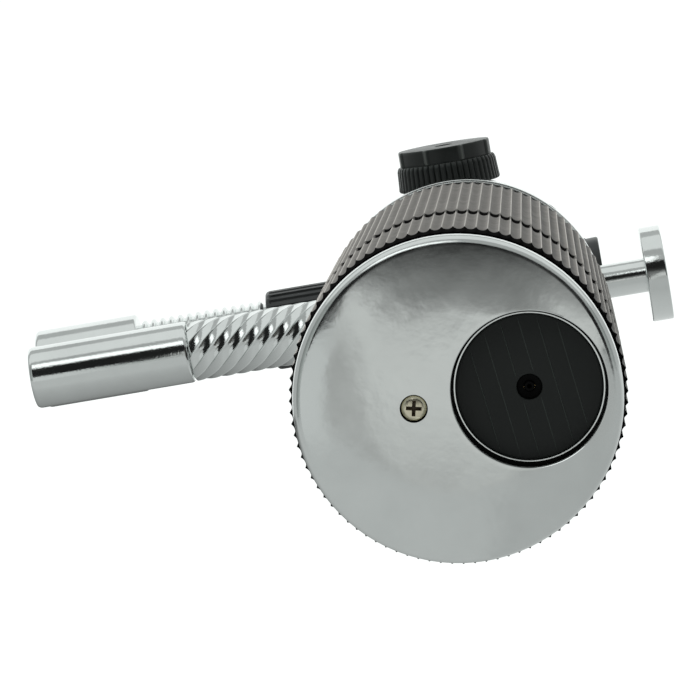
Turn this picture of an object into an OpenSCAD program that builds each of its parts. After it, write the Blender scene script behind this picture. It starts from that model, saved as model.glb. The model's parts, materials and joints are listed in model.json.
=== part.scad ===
// Hand-held gas torch for lampwork: an upright grip and fuel tank on a round base,
// with two burners, a gas knob and a push rod igniter on its head.

/* [Base] */
// Radius of the round base
base_r = 30; // [29.5:0.1:30.5]
// Distance of the filler opening from the centre of the base
filler_x = 13.1; // [12.6:0.1:13.3]
// Radius of the filler opening in the base
filler_r = 14.2; // [13.8:0.1:14.3]
// Distance of the base screw from the centre of the base
base_screw_x = 8; // [7.5:0.1:8.5]

/* [Grip] */
// Height of the collar between grip and head
collar_z = 141; // [130:1:150]
// Outer radius of the ribbed grip
grip_r = 31; // [30.8:0.1:31.2]
// Number of ribs round the grip
grip_ribs = 92; // [60:2:110]

/* [Burners] */
// Radius of the plain end of the main burner
flame_tube_r = 6.95; // [6.8:0.05:7]
// Distance of the burner mouths from the axis of the grip
mouth_x = 100; // [95:1:110]
// Number of twisted flutes on the air sleeve
sleeve_flutes = 13; // [10:1:16]
// Radius of the ribbed barrel
barrel_r = 9.1; // [8.9:0.1:9.1]

/* [Controls] */
// Travel of the igniter rod
rod_travel = 4; // [2:0.5:4]
// Radius of the button at the end of the igniter rod
button_r = 10.6; // [9:0.1:11]
// Radius of the ribbed skirt of the gas knob
knob_r = 11.4; // [10.5:0.1:12]
// Number of ribs round the skirt of the gas knob
knob_ribs = 52; // [36:4:60]

/* [Hidden] */
$fn = 64;
e = 0.01;                       // overshoot of cutting tools
run = 0.05;                     // running clearance on a radius

land_r = 16;                    // flat in the middle of the base, on which the torch stands
base_slope = 0.2;               // slope of the domed base where its rounded edge starts
edge_r = 2.24;                  // rounding of the edge
bend_r = base_r - edge_r * (1 - sin(atan(base_slope)));
base_wall = 1.1;                // wall of the base's side
base_h = 4.8;                   // height of the base's side
plate_t = 0.9;                  // thickness of the base plate
screw_z = 1.6;                  // seat of the base screw's head
boss_z = 4.75;                  // where the tank's screw boss meets the base plate
plug_z = 4.2;                   // underside of the filler plug
valve_z = 6.6;                  // underside of the refill valve
tank_z = 6;                     // underside of the tank
tank_floor = 2.4;
shell_r = 28.9;
shell_z = 3.6;                  // lower edge of the body shell
tank_r = 28;
tank_wall = 1.8;
tank_top = 127;
lid_t = 4;
band_z = 5.6;                   // lower edge of the grip band
band_top = 47;
collar_h = 5.5;
head_z = collar_z + collar_h;   // top of the collar, where the head starts
head_r = 21.5;
head_wall = 1.8;
burner_z = collar_z + 31.5;     // height of the main burner and the igniter rod
barrel_z = burner_z + 16.6;     // height of the upper barrel
mixer_r = 5;
mixer_bore = 4.2;
sleeve_r = 6.75;                // crest radius of the air sleeve
sleeve_len = 41.4;
sleeve_x = 22.4;                // inner end of the air sleeve
flute_depth = 0.23;
flute_lead = 44;
port_x = sleeve_x + 5;          // air ports in the sleeve and the mixer tube
tube_x = sleeve_x + sleeve_len + 0.2;   // inner end of the flame tube
block = [13, 17, 14.8];         // size of the valve block
block_x = -9;                   // left face of the valve block
spindle_r = 2;
gland_r = 4.5;
knob_y = 27.2;                  // inner face of the knob
skirt_w = 5.7;
cap_w = 3.4;
cap_r = 10.3;
cap_ridges = 8;
rod_r = 3.8;
rod_collar_x = 18.2;
button_x = 39.7;
button_w = 4.7;
bushing_x = 19.5;
bushing_end = 28.5;
plunger_r = 1.8;
piezo_x = 4.4;
piezo_len = 8.2;
neck_r = 7.2;
neck_x = 46.4;
nozzle_x = 76.5;
fin_pitch = 2.06;
nozzle_r = 8.9;
barrel_end = 27.8;
gas_y = 4;                      // where the upper burner's gas tube leaves the valve block

// A cylinder along +X from x0 to x1 at height z
module x_rod(r, x0, x1, z, y = 0) {
    translate([x0, y, z]) rotate([0, 90, 0]) cylinder(r = r, h = x1 - x0);
}

// A cylinder along -Y from y0 to y1, both measured towards the front
module y_rod(r, y0, y1, z, x = 0) {
    translate([x, -y0, z]) rotate([90, 0, 0]) cylinder(r = r, h = y1 - y0);
}

// A ring about Z
module ring(ro, ri, z0, z1) {
    difference() {
        translate([0, 0, z0]) cylinder(r = ro, h = z1 - z0);
        translate([0, 0, z0 - e]) cylinder(r = ri, h = z1 - z0 + 2 * e);
    }
}

// Outline with straight ribs round it, each with a flat crest
function ribbed(r, depth, count, crest = 0.3) = [
    for (i = [0:count - 1])
        let (step = 360 / count)
        for (k = [[-0.5, depth], [-crest / 2, 0], [crest / 2, 0]])
            let (a = (i + k[0]) * step)
            [(r - k[1]) * cos(a), (r - k[1]) * sin(a)]
];

// Outline of shallow hollows side by side, with ridges at radius r between them
function hollowed(r, depth, count, steps = 6) = [
    for (i = [0:count * steps - 1])
        let (a = i * 360 / (count * steps))
        let (k = (i % steps) / steps)
        let (at = r - depth * (1 - pow(2 * k - 1, 2)))
        [at * cos(a), at * sin(a)]
];

// Coil spring along +Z as a swept wire, with closed ends
module coil(r, wire, height, turns, sides = 6, per_turn = 14) {
    rings = turns * per_turn;
    points = [
        for (i = [0:rings])
            let (a = 360 * i / per_turn)
            let (z = wire + (height - 2 * wire) * i / rings)
            for (k = [0:sides - 1])
                let (b = 360 * k / sides)
                [(r + wire * cos(b)) * cos(a), (r + wire * cos(b)) * sin(a), z + wire * sin(b)]
    ];
    sides_faces = [
        for (i = [0:rings - 1])
            for (k = [0:sides - 1])
                let (n = (k + 1) % sides)
                [i * sides + k, (i + 1) * sides + k, (i + 1) * sides + n, i * sides + n]
    ];
    first = [for (k = [0:sides - 1]) k];
    last = [for (k = [sides - 1:-1:0]) rings * sides + k];
    polyhedron(points, concat(sides_faces, [first, last]), convexity = 8);
}

// Height of the domed base plate's underside at radius r, outside its flat
function plate_z(r) = base_slope * pow(r - land_r, 2) / (2 * (bend_r - land_r));

module base_cap() {
    steps = 6;
    lean = atan(base_slope);
    edge_z = plate_z(bend_r) + edge_r * cos(lean);
    radii = [for (i = [0:steps]) land_r + (bend_r - land_r) * i / steps];
    under = [for (r = radii) [r, plate_z(r)]];
    over = [for (i = [steps:-1:0]) [radii[i], plate_z(radii[i]) + plate_t]];
    edge = [for (i = [1:steps]) let (a = lean + (90 - lean) * i / steps)
        [base_r - edge_r + edge_r * sin(a), edge_z - edge_r * cos(a)]];
    side = [[base_r, base_h], [base_r - base_wall, base_h], [base_r - base_wall, edge_z]];
    color("silver") difference() {
        union() {
            rotate_extrude($fn = 96) polygon(concat([[0, 0]], under, edge, side, over, [[0, plate_t]]));
            translate([-base_screw_x, 0, plate_t / 2]) cylinder(r = 4, h = boss_z - plate_t / 2);
        }
        translate([filler_x, 0, -e]) cylinder(r = filler_r, h = base_h + 1);
        translate([-base_screw_x, 0, -e]) cylinder(r = 2.68, h = screw_z + e);
        translate([-base_screw_x, 0, -e]) cylinder(r = 1.35, h = 6);
    }
}

module base_screw() {
    color("khaki") translate([-base_screw_x, 0, 0]) difference() {
        union() {
            translate([0, 0, screw_z - 1.3]) rotate_extrude() intersection() {
                translate([0, 5]) circle(r = 5);
                square([2.45, 1.3]);
            }
            translate([0, 0, screw_z]) cylinder(r = 1.25, h = 7.6);
        }
        for (turn = [0, 90]) {
            translate([0, 0, screw_z - 1]) rotate([0, 0, turn + 20]) cube([2.7, 0.55, 0.9], center = true);
        }
    }
}

module filler_bezel() {
    color("silver") translate([filler_x, 0, 0]) ring(13.8, 13.4, plug_z - 0.3, tank_z);
}

module filler_plug() {
    plug_r = 13.35;
    ridge = 0.16;
    color([0.12, 0.13, 0.12]) translate([filler_x, 0, 0]) difference() {
        union() {
            translate([0, 0, plug_z]) cylinder(r = plug_r - 0.2, h = 0.3);
            translate([0, 0, plug_z + 0.2]) cylinder(r = plug_r, h = tank_z - plug_z - 0.2);
            for (x = [-8.4:3.3:8.1]) {
                half = sqrt(pow(plug_r - 0.5, 2) - pow(x, 2));
                rotate([0, 0, -7]) translate([x - ridge / 2, -half, plug_z - 0.15]) cube([ridge, 2 * half, 0.3]);
            }
        }
        translate([0, 0, plug_z - 1]) cylinder(r = 2.3, h = 2.3);
        translate([0, 0, plug_z]) cylinder(r = 1.3, h = 4);
    }
}

module valve_body() {
    color("goldenrod") translate([filler_x, 0, 0]) difference() {
        union() {
            translate([0, 0, valve_z]) cylinder(r = 3, h = 11.8);
            translate([0, 0, tank_z + tank_floor]) cylinder(r = 4.6, h = 1.4, $fn = 6);
        }
        translate([0, 0, valve_z - 0.2]) cylinder(r = 0.95 + run, h = 4);
        translate([0, 0, valve_z + 2.8]) cylinder(r = 2.1, h = 7.6);
        translate([0, 0, valve_z + 9.8]) cylinder(r = 0.8, h = 3);
    }
}

module valve_seal() {
    color([0.1, 0.1, 0.1]) translate([filler_x, 0, 0]) ring(2.1, 1.1, valve_z + 2.8, valve_z + 3.3);
}

module valve_stem() {
    color("gold") translate([filler_x, 0, 0]) difference() {
        union() {
            translate([0, 0, valve_z - 1.7]) cylinder(r = 0.95, h = 7.1);
            translate([0, 0, valve_z + 3.35]) cylinder(r = 1.7, h = 0.6);
        }
        translate([0, 0, valve_z - 1.8]) cylinder(r = 0.4, h = 2.9);
    }
}

module valve_spring() {
    color("gray") translate([filler_x, 0, valve_z + 4]) coil(1.55, 0.16, 6.3, 6);
}

module fuel_tank() {
    color([0.15, 0.15, 0.16]) difference() {
        union() {
            translate([0, 0, tank_z]) cylinder(r = tank_r, h = tank_top - tank_z, $fn = 96);
            translate([-base_screw_x, 0, boss_z]) cylinder(r = 3.5, h = tank_z - boss_z + e);
        }
        difference() {
            translate([0, 0, tank_z + tank_floor]) cylinder(r = tank_r - tank_wall, h = 140, $fn = 96);
            translate([-base_screw_x, 0, tank_z]) cylinder(r = 3.5, h = 8);
        }
        translate([filler_x, 0, 0]) cylinder(r = 3, h = 12);
        translate([-base_screw_x, 0, 0]) cylinder(r = 1.25, h = 10.5);
    }
}

module tank_lid() {
    color([0.2, 0.2, 0.22]) difference() {
        union() {
            translate([0, 0, tank_top]) cylinder(r = tank_r, h = lid_t, $fn = 96);
            translate([0, 0, tank_top - 4]) cylinder(r = tank_r - tank_wall - 0.1, h = 5, $fn = 96);
        }
        translate([0, 0, tank_top - 5]) cylinder(r = 3, h = 12);
        ring(tank_r, 24.6, tank_top - 2.8, tank_top - 1);
    }
}

module lid_seal() {
    color([0.1, 0.1, 0.1]) rotate_extrude($fn = 96) translate([25.4, tank_top - 1.9]) circle(r = 0.75, $fn = 24);
}

module pickup_tube() {
    color("gainsboro") ring(1.25, 0.8, 14, tank_top - 4);
}

module outlet_fitting() {
    color("goldenrod") difference() {
        union() {
            translate([0, 0, tank_top - 6]) cylinder(r = 3, h = lid_t + 6);
            translate([0, 0, tank_top + lid_t]) cylinder(r = 5.2, h = 4, $fn = 6);
            translate([0, 0, tank_top + lid_t]) cylinder(r = 2.6, h = 10);
        }
        translate([0, 0, tank_top - 7]) cylinder(r = 0.8, h = 30);
        translate([0, 0, tank_top - 7]) cylinder(r = 1.25, h = 3);
        translate([0, 0, tank_top + lid_t + 7]) cylinder(r = 1.5, h = 4);
    }
}

module body_shell() {
    color("silver") difference() {
        translate([0, 0, shell_z]) cylinder(r = shell_r, h = head_z - 0.5 - shell_z, $fn = 96);
        translate([0, 0, 2]) cylinder(r = tank_r + 0.1, h = head_z, $fn = 96);
    }
}

// Ribbed ring round the shell, from z0 to z1, where its radius is top_r
module ribbed_ring(r, top_r, depth, z0, z1) {
    difference() {
        translate([0, 0, z0]) linear_extrude(z1 - z0, scale = top_r / r)
            polygon(ribbed(r, depth, grip_ribs, 0.3));
        translate([0, 0, z0 - 1]) cylinder(r = shell_r, h = z1 - z0 + 2, $fn = 96);
    }
}

module grip_band() {
    color([0.16, 0.16, 0.15]) ribbed_ring(grip_r - 0.1, grip_r - 0.1, 0.4, band_z, band_top);
}

module grip_sleeve() {
    color([0.18, 0.18, 0.17]) union() {
        ring(grip_r - 1, shell_r, band_top + 0.1, band_top + 2);
        ribbed_ring(grip_r, grip_r, 0.5, band_top + 1.9, collar_z - 20);
        ribbed_ring(grip_r, grip_r - 1.3, 0.5, collar_z - 20, collar_z - 1.2);
        ring(grip_r - 1.6, shell_r, collar_z - 1.3, collar_z - 0.1);
    }
}

module collar() {
    color("silver") difference() {
        union() {
            ring(30.2, shell_r, collar_z + 0.5, head_z - 0.6);
            ring(29.8, shell_r, collar_z, head_z);
        }
        for (turn = [-12, -3, 7, 16]) {
            rotate([0, 0, turn]) translate([-0.35, -31, collar_z + 1.6]) cube([0.7, 1.4, 2.2]);
        }
        for (turn = [-43.5, 76.5, 196.5]) {
            rotate([0, 0, turn]) x_rod(1, 27, 32, collar_z + 2.8);
        }
    }
}

module collar_screws() {
    color("dimgray") for (turn = [-43.5, 76.5, 196.5]) {
        rotate([0, 0, turn]) difference() {
            x_rod(1, shell_r, 30.15, collar_z + 2.8);
            translate([29.8, 0, collar_z + 2.8]) cube([1, 0.3, 1.4], center = true);
        }
    }
}

// Half section of the head: a flared foot, a straight waist and a domed top
function head_outline(r, foot, z0, top, round, steps = 6) = concat(
    [[0, z0], [foot, z0]],
    [for (i = [0:steps]) let (a = 90 * i / steps)
        [r + (foot - r) * (1 - sin(a)), z0 + 1.2 + (foot - r) * (1 - cos(a))]],
    [for (i = [0:steps]) let (a = 90 * i / steps)
        [r - round + round * cos(a), top - round + round * sin(a)]],
    [[0, top]]
);

module head_solid(t) {
    top = barrel_z + 12;
    rotate_extrude($fn = 96)
        polygon(head_outline(head_r - t, 29.4 - t, head_z - (t > 0 ? 1 : 0), top - t, 9 - t));
}

// Everything that passes through the wall of the head
module head_cuts() {
    x_rod(mixer_r, -40, 0, burner_z);
    x_rod(5.6, 15, 40, burner_z);
    y_rod(gland_r, 10, 40, burner_z);
    x_rod(barrel_r, -40, 40, barrel_z);
}

module head_housing() {
    color("silver") difference() {
        union() {
            difference() {
                head_solid(0);
                head_solid(head_wall);
            }
            intersection() {
                head_solid(0.5);
                for (side = [-1, 1]) {
                    translate([0, side * 16.6, barrel_z - 9]) cylinder(r = 4.2, h = 9);
                }
            }
        }
        translate([-40, -40, barrel_z]) cube([80, 80, 40]);
        head_cuts();
        for (side = [-1, 1]) {
            translate([0, side * 15.4, barrel_z - 7]) cylinder(r = 1.25, h = 8);
        }
    }
}

module head_dome() {
    color("silver") difference() {
        union() {
            difference() {
                head_solid(0);
                head_solid(head_wall);
            }
            intersection() {
                head_solid(0.5);
                for (side = [-1, 1]) {
                    translate([0, side * 16.6, barrel_z]) cylinder(r = 4.2, h = 12);
                }
            }
        }
        translate([-40, -40, head_z - 2]) cube([80, 80, barrel_z - head_z + 2]);
        head_cuts();
        for (side = [-1, 1]) {
            translate([0, side * 15.4, barrel_z - 1]) cylinder(r = 1.5, h = 20);
            translate([0, side * 15.4, barrel_z + 5]) cylinder(r = 2.7, h = 20);
        }
    }
}

module dome_screws() {
    color("silver") for (side = [-1, 1]) {
        translate([0, side * 15.4, barrel_z]) difference() {
            union() {
                translate([0, 0, -6.5]) cylinder(r = 1.25, h = 12);
                translate([0, 0, 5]) cylinder(r = 2.6, h = 1.6);
            }
            for (turn = [0, 90]) {
                rotate([0, 0, turn]) translate([0, 0, 6.5]) cube([2.8, 0.55, 1.6], center = true);
            }
        }
    }
}

module supply_tube() {
    color("peru") ring(1.5, 0.8, tank_top + lid_t + 7, burner_z - block[2] / 2);
}

module valve_block() {
    color("goldenrod") difference() {
        union() {
            translate([block_x, -block[1] / 2, burner_z - block[2] / 2]) cube(block);
            y_rod(gland_r, block[1] / 2 - 1, 24.2, burner_z, 0);
        }
        y_rod(spindle_r + run, -2, 30, burner_z);
        y_rod(3.2, 20.4, 30, burner_z);
        translate([0, 0, burner_z - 10]) cylinder(r = 0.8, h = 9);
        x_rod(0.8, -12, 0, burner_z);
        translate([-4, gas_y, burner_z]) cylinder(r = 0.8, h = 10);
        translate([-4, gas_y, burner_z + 5.5]) cylinder(r = 1.2, h = 10);
        translate([-4, -1, burner_z]) rotate([-90, 0, 0]) cylinder(r = 0.7, h = gas_y + 1);
        x_rod(1.6, -12, -6.6, burner_z);
    }
}

module gas_spindle() {
    color("gainsboro") union() {
        y_rod(spindle_r, 0.4, knob_y + skirt_w, burner_z);
        y_rod(0.5, -1.2, 0.5, burner_z);
    }
}

module spindle_seal() {
    color([0.1, 0.1, 0.1]) translate([0, -20.4, burner_z]) rotate([90, 0, 0])
        ring(3.2, spindle_r + run, 0, 2.2);
}

module packing_nut() {
    color("goldenrod") difference() {
        translate([0, -22.6, burner_z]) rotate([90, 0, 0]) cylinder(r = 5.8, h = 3.6, $fn = 6);
        difference() {
            y_rod(gland_r, 22, 24.2, burner_z);
            y_rod(3.15, 22, 24.2, burner_z);
        }
        y_rod(spindle_r + run, 20, 30, burner_z);
    }
}

module knob_skirt() {
    color([0.16, 0.17, 0.16]) difference() {
        translate([0, -knob_y, burner_z]) rotate([90, 0, 0]) linear_extrude(skirt_w)
            polygon(ribbed(knob_r, 0.4, knob_ribs, 0.45));
        y_rod(knob_r - 2.2, knob_y - 1, knob_y + 1.6, burner_z);
        y_rod(spindle_r, knob_y, knob_y + 10, burner_z);
    }
}

module knob_cap() {
    start = knob_y + skirt_w;
    color([0.13, 0.14, 0.13]) translate([0, -start, burner_z]) rotate([90, 180 / cap_ridges, 0])
        linear_extrude(cap_w) union() {
            circle(r = cap_r);
            for (i = [0:cap_ridges - 1]) {
                rotate(i * 360 / cap_ridges) translate([cap_r - 0.4, 0]) circle(r = 0.8, $fn = 24);
            }
        }
}

module main_jet() {
    color("goldenrod") difference() {
        union() {
            x_rod(1.6, block_x, -6.6, burner_z);
            translate([block_x - 5, 0, burner_z]) rotate([0, 90, 0]) cylinder(r = 2.6, h = 2.6, $fn = 6);
            x_rod(2, block_x - 3, block_x, burner_z);
            x_rod(1.3, block_x - 8, block_x - 4, burner_z);
        }
        x_rod(0.7, block_x - 6.5, 0, burner_z);
        x_rod(0.2, block_x - 9, block_x - 5, burner_z);
    }
}

module mixer_tube() {
    color("silver") difference() {
        x_rod(mixer_r, -tube_x - 3.6, block_x - 0.3, burner_z);
        x_rod(mixer_bore, -tube_x - 5, block_x + 1, burner_z);
        for (turn = [0, 90, 180, 270]) {
            translate([-port_x, 0, burner_z]) rotate([turn, 0, 0]) cylinder(r = 1.4, h = 8);
        }
        translate([block_x - 2.6, 0, burner_z - 8]) cylinder(r = 0.75, h = 8);
    }
}

module air_sleeve() {
    color("silver") difference() {
        translate([-sleeve_x - sleeve_len, 0, burner_z]) rotate([0, 90, 0])
            linear_extrude(sleeve_len, twist = 360 * sleeve_len / flute_lead, slices = 34)
                polygon(hollowed(sleeve_r, flute_depth, sleeve_flutes));
        x_rod(mixer_r + run, -sleeve_x - sleeve_len - 1, 0, burner_z);
        for (turn = [0, 90, 180, 270]) {
            translate([-port_x, 0, burner_z]) rotate([turn, 0, 0]) cylinder(r = 1.4, h = 8);
        }
    }
}

module flame_tube() {
    color("silver") difference() {
        x_rod(flame_tube_r, -mouth_x, -tube_x, burner_z);
        x_rod(flame_tube_r - 0.75, -mouth_x - 1, -tube_x - 3.6, burner_z);
        x_rod(mixer_r, -mouth_x, 0, burner_z);
    }
}

module flame_holder() {
    x0 = -mouth_x + 18;
    color("goldenrod") difference() {
        x_rod(flame_tube_r - 0.75, x0, x0 + 3, burner_z);
        x_rod(1.2, x0 - 1, x0 + 4, burner_z);
        for (i = [0:7]) {
            translate([x0 - 1, 0, burner_z]) rotate([i * 45, 0, 0]) translate([0, 0, 3.7])
                rotate([0, 90, 0]) cylinder(r = 0.9, h = 5);
        }
    }
}

module electrode() {
    color("gainsboro") x_rod(0.4, -mouth_x + 7, -tube_x + 2, burner_z);
}

module electrode_insulator() {
    color("white") difference() {
        x_rod(1.2, -mouth_x + 14, -tube_x + 1, burner_z);
        x_rod(0.4, -mouth_x, 0, burner_z);
    }
}

module piezo_unit() {
    color([0.75, 0.2, 0.15]) difference() {
        translate([piezo_x, -5, burner_z - 5]) cube([piezo_len, 10, 10]);
        x_rod(plunger_r + run, piezo_x + piezo_len - 1.6 - rod_travel, 30, burner_z);
    }
}

// Route of the wire from the igniter to the electrode, under the valve block
lead_route = [
    [piezo_x + 3, 0, burner_z - 5.7], [piezo_x + 3, 0, burner_z - 11], [2.8, 3.2, burner_z - 11],
    [block_x - 2.6, 0, burner_z - 9], [block_x - 2.6, 0, burner_z - 3.4],
    [-tube_x + 8, 0, burner_z - 3.4], [-tube_x + 2.2, 0, burner_z - 1]
];

module ignition_lead() {
    color("darkred") for (i = [0:len(lead_route) - 2]) {
        a = lead_route[i];
        d = lead_route[i + 1] - a;
        length = norm(d);
        translate(a) rotate([0, acos(d[2] / length), atan2(d[1], d[0])]) translate([0, 0, -0.4])
            cylinder(r = i % 2 == 0 ? 0.6 : 0.66, h = length + 0.8);
    }
}

module return_spring() {
    length = rod_collar_x - piezo_x - piezo_len - 0.1;
    color("gray") translate([piezo_x + piezo_len + 0.05, 0, burner_z]) rotate([0, 90, 0])
        coil(3, 0.18, length, 4, 6, 20);
}

module rod_bushing() {
    color("silver") difference() {
        union() {
            x_rod(5.6, bushing_x, bushing_end - 0.5, burner_z);
            x_rod(5.2, bushing_end - 0.6, bushing_end, burner_z);
            x_rod(6.8, head_r + 0.4, head_r + 2.4, burner_z);
        }
        x_rod(rod_r + run, 10, 40, burner_z);
    }
}

module push_rod() {
    color("silver") union() {
        x_rod(rod_r, rod_collar_x, button_x + 1, burner_z);
        x_rod(4.6, rod_collar_x, rod_collar_x + 1.2, burner_z);
        x_rod(plunger_r, piezo_x + piezo_len - 0.8, rod_collar_x, burner_z);
    }
}

module push_button() {
    edge = 0.3;
    color("silver") difference() {
        translate([button_x, 0, burner_z]) rotate([0, 90, 0]) rotate_extrude($fn = 96) polygon([
            [0, 0], [button_r - edge, 0], [button_r, edge], [button_r, button_w - edge],
            [button_r - edge, button_w], [0, button_w]
        ]);
        x_rod(rod_r, button_x - 1, button_x + 1, burner_z);
    }
}

module upper_barrel() {
    color([0.13, 0.13, 0.14]) difference() {
        translate([-neck_x, 0, barrel_z]) rotate([0, 90, 0]) linear_extrude(neck_x + barrel_end)
            polygon(ribbed(barrel_r, 0.35, 28, 0.55));
        x_rod(6, -neck_x - 1, barrel_end + 1, barrel_z);
        translate([-4, gas_y, barrel_z - 12]) cylinder(r = 1.6, h = 10);
    }
}

module barrel_cap() {
    color([0.13, 0.13, 0.14]) translate([barrel_end, 0, barrel_z]) rotate([0, 90, 0]) rotate_extrude() polygon(
        concat([[0, -6], [6, -6], [6, 0], [barrel_r - 0.2, 0], [barrel_r - 0.2, 2.2]],
            [for (a = [30:30:90]) [barrel_r - 0.8 + 0.6 * cos(a), 2.2 + 0.6 * sin(a)]],
            [[0, 2.8]])
    );
}

module finned_neck() {
    fins = floor((nozzle_x - neck_x - 1) / fin_pitch);
    profile = concat(
        [[0, -7], [6, -7], [6, 0], [neck_r - 0.9, 0]],
        [for (i = [0:fins - 1]) for (k = [[0.25, 0.9], [0.45, 0], [0.75, 0], [0.95, 0.9]])
            [neck_r - k[1], (i + k[0]) * fin_pitch + 0.4]],
        [[neck_r - 0.9, nozzle_x - neck_x], [5.5, nozzle_x - neck_x], [5.5, nozzle_x - neck_x + 5],
            [0, nozzle_x - neck_x + 5]]
    );
    color("silver") difference() {
        translate([-neck_x, 0, barrel_z]) rotate([0, -90, 0]) rotate_extrude() polygon(profile);
        x_rod(3.4, -mouth_x, 0, barrel_z);
        x_rod(3.9, -neck_x - 2, 0, barrel_z);
    }
}

module upper_nozzle() {
    color("silver") difference() {
        union() {
            x_rod(nozzle_r, -mouth_x + 0.3, -nozzle_x - 0.3, barrel_z);
            x_rod(nozzle_r - 0.4, -mouth_x, -nozzle_x, barrel_z);
        }
        x_rod(5.5, -nozzle_x - 5, -nozzle_x + 1, barrel_z);
        x_rod(7.4, -mouth_x - 1, -mouth_x + 12, barrel_z);
        x_rod(3.4, -mouth_x, -nozzle_x, barrel_z);
    }
}

module upper_jet() {
    color("goldenrod") difference() {
        x_rod(3.9, -neck_x - 2, -neck_x + 5.5, barrel_z);
        x_rod(0.25, -neck_x - 3, -neck_x + 8, barrel_z);
        x_rod(1.2, -neck_x + 2, -neck_x + 8, barrel_z);
    }
}

module upper_gas_tube() {
    color("peru") difference() {
        union() {
            translate([-4, gas_y, burner_z + 5.5]) cylinder(r = 1.2, h = barrel_z - burner_z - 5.5);
            translate([-4, gas_y, barrel_z]) sphere(r = 1.2);
            translate([-4, gas_y, barrel_z]) rotate([90, 0, 0]) cylinder(r = 1.2, h = gas_y);
            translate([-4, 0, barrel_z]) sphere(r = 1.2);
            x_rod(1.2, -neck_x + 2, -4, barrel_z);
        }
        translate([-4, gas_y, burner_z]) cylinder(r = 0.7, h = barrel_z - burner_z);
        translate([-4, gas_y, barrel_z]) rotate([90, 0, 0]) cylinder(r = 0.7, h = gas_y);
        x_rod(0.7, -neck_x - 1, -4, barrel_z);
    }
}

base_cap();
base_screw();
filler_bezel();
filler_plug();
valve_body();
valve_seal();
valve_stem();
valve_spring();
fuel_tank();
tank_lid();
lid_seal();
pickup_tube();
outlet_fitting();
body_shell();
grip_band();
grip_sleeve();
collar();
collar_screws();
head_housing();
head_dome();
dome_screws();
supply_tube();
valve_block();
gas_spindle();
spindle_seal();
packing_nut();
knob_skirt();
knob_cap();
main_jet();
mixer_tube();
air_sleeve();
flame_tube();
flame_holder();
electrode();
electrode_insulator();
piezo_unit();
ignition_lead();
return_spring();
rod_bushing();
push_rod();
push_button();
upper_barrel();
barrel_cap();
finned_neck();
upper_nozzle();
upper_jet();
upper_gas_tube();
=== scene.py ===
"""Looks for the lampwork torch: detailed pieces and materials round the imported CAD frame.

Units are metres in the CAD frame. The torch stands on z = 0 with its burners along -X, the igniter rod
along +X and the gas knob on -Y. The camera looks up at the base, so the floor lies below the camera.
"""
import json
import math

import bmesh
import bpy
from mathutils import Matrix, Vector


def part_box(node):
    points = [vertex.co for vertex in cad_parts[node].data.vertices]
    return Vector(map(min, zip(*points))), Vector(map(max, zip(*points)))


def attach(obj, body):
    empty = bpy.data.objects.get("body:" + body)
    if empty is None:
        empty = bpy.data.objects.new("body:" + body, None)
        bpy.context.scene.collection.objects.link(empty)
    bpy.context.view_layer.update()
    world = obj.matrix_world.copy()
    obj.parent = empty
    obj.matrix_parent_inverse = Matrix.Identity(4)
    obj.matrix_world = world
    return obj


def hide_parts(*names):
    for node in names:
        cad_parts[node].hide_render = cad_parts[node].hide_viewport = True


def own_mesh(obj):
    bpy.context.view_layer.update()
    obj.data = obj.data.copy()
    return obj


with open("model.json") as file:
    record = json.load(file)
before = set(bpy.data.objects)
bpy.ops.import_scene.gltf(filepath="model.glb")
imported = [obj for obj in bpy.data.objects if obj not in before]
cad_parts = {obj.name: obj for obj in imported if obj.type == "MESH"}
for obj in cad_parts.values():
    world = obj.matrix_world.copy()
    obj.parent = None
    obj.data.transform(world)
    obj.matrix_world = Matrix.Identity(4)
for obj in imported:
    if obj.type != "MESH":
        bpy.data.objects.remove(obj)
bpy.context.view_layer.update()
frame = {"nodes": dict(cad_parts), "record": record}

MM = 0.001
TAU = 2 * math.pi
NODES = frame["nodes"]

# Local frames whose third column is the axis a piece is turned about
AXES = {
    "+z": Matrix(((1, 0, 0), (0, 1, 0), (0, 0, 1))),
    "+x": Matrix(((0, 0, 1), (1, 0, 0), (0, 1, 0))),
    "-x": Matrix(((0, 0, -1), (1, 0, 0), (0, -1, 0))),
    "-y": Matrix(((1, 0, 0), (0, 0, -1), (0, 1, 0))),
}


# ---------------------------------------------------------------- places taken from the frame

def middle(node):
    """Centre of a CAD node's box."""
    low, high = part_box(node)
    return (low + high) / 2


BURNER_Z = middle("flame_tube").z
BARREL_Z = middle("upper_nozzle").z
PLUG = middle("filler_plug")
SCREW = middle("base_screw")
BURNER = Vector((0, 0, BURNER_Z))
BARREL = Vector((0, 0, BARREL_Z))


# ---------------------------------------------------------------- mesh tools

def finished(name, bm, smooth=30):
    """A mesh object from bm, smooth except along edges sharper than smooth degrees."""
    bmesh.ops.remove_doubles(bm, verts=bm.verts, dist=1e-7)
    bmesh.ops.dissolve_degenerate(bm, edges=bm.edges, dist=1e-8)
    bmesh.ops.delete(bm, geom=[e for e in bm.edges if e.is_wire], context="EDGES")
    bmesh.ops.recalc_face_normals(bm, faces=bm.faces)
    mesh = bpy.data.meshes.new(name)
    bm.to_mesh(mesh)
    bm.free()
    mesh.shade_smooth()
    mesh.set_sharp_from_angle(angle=math.radians(smooth))
    obj = bpy.data.objects.new(name, mesh)
    bpy.context.scene.collection.objects.link(obj)
    return obj


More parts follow.
